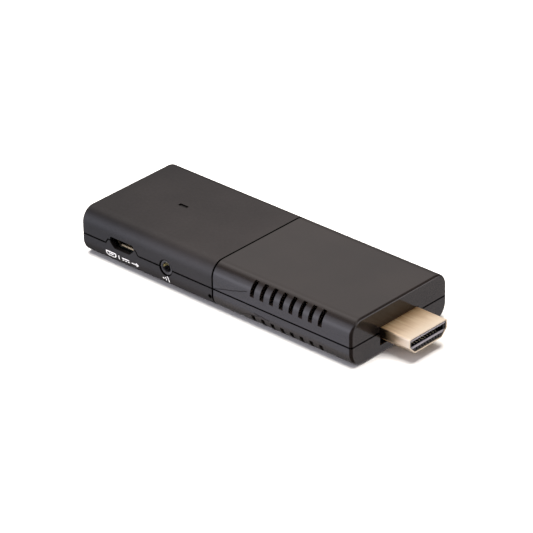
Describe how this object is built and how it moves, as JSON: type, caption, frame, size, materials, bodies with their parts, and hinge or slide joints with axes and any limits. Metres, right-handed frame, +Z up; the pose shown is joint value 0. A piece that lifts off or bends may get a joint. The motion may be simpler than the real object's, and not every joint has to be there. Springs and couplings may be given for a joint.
{
  "type": "streaming stick",
  "caption": "Flat black streaming stick with a gold video plug at one end, a micro-USB power socket, an infrared jack and a reset pinhole in one side, and slots for air.",
  "frame": {"origin": "on the underside of the housing, halfway along the whole length and width, plug included", "axes": "+X along the length towards the video plug, -Y out of the side with the sockets, +Z up"},
  "size_m": [0.0992, 0.0352, 0.0128],
  "materials": {
    "satin_black_plastic": "fine satin moulded",
    "gloss_black_plastic": "polished moulded",
    "smoked_plastic": "clear dark moulded",
    "circuit_board": "solder resist on glass epoxy",
    "gold_plate": "thin bright plating",
    "connector_plastic": "moulded",
    "nickel_plate": "bright plated sheet",
    "jack_plastic": "moulded grey",
    "spring_steel": "rolled",
    "switch_plastic": "moulded",
    "chip_plastic": "moulded epoxy",
    "thermal_pad": "soft silicone",
    "aluminium": "extruded",
    "ceramic": "fired, tinned ends",
    "led_plastic": "clear moulded"
  },
  "bodies": {
    "stick": {"rear_upper_shell": "satin_black_plastic", "rear_lower_shell": "satin_black_plastic", "front_upper_cover": "gloss_black_plastic", "front_lower_cover": "gloss_black_plastic", "light_guide": "smoked_plastic", "main_board": "circuit_board", "hdmi_plug_shell": "gold_plate", "hdmi_plug_insulator": "connector_plastic", "hdmi_upper_contacts": "gold_plate", "hdmi_lower_contacts": "gold_plate", "usb_socket_shell": "nickel_plate", "usb_socket_tongue": "connector_plastic", "usb_socket_contacts": "gold_plate", "infrared_jack_body": "jack_plastic", "infrared_jack_contacts": "gold_plate", "reset_switch_base": "switch_plastic", "reset_switch_cover": "nickel_plate", "reset_switch_dome": "spring_steel", "reset_switch_terminals": "nickel_plate", "status_led": "led_plastic", "processor_chip": "chip_plastic", "thermal_pad": "thermal_pad", "heat_sink": "aluminium", "memory_chips": "chip_plastic", "flash_chip": "chip_plastic", "power_chip": "chip_plastic", "power_inductors": "chip_plastic", "bulk_capacitors": "chip_plastic", "clock_crystal": "nickel_plate", "ceramic_capacitors": "ceramic", "chip_resistors": "ceramic", "surge_protection_chips": "chip_plastic", "wireless_board": "circuit_board", "wireless_shield": "nickel_plate", "antenna": "nickel_plate"},
    "reset_button": {"reset_switch_plunger": "switch_plastic"}
  },
  "joints": [
    {"name": "reset_press", "type": "slide", "parent": "stick", "child": "reset_button", "axis": [0, 1, 0], "range_m": [0, 0.00025], "stiffness_N_per_m": 2000, "deforming": ["reset_switch_dome"]}
  ]
}
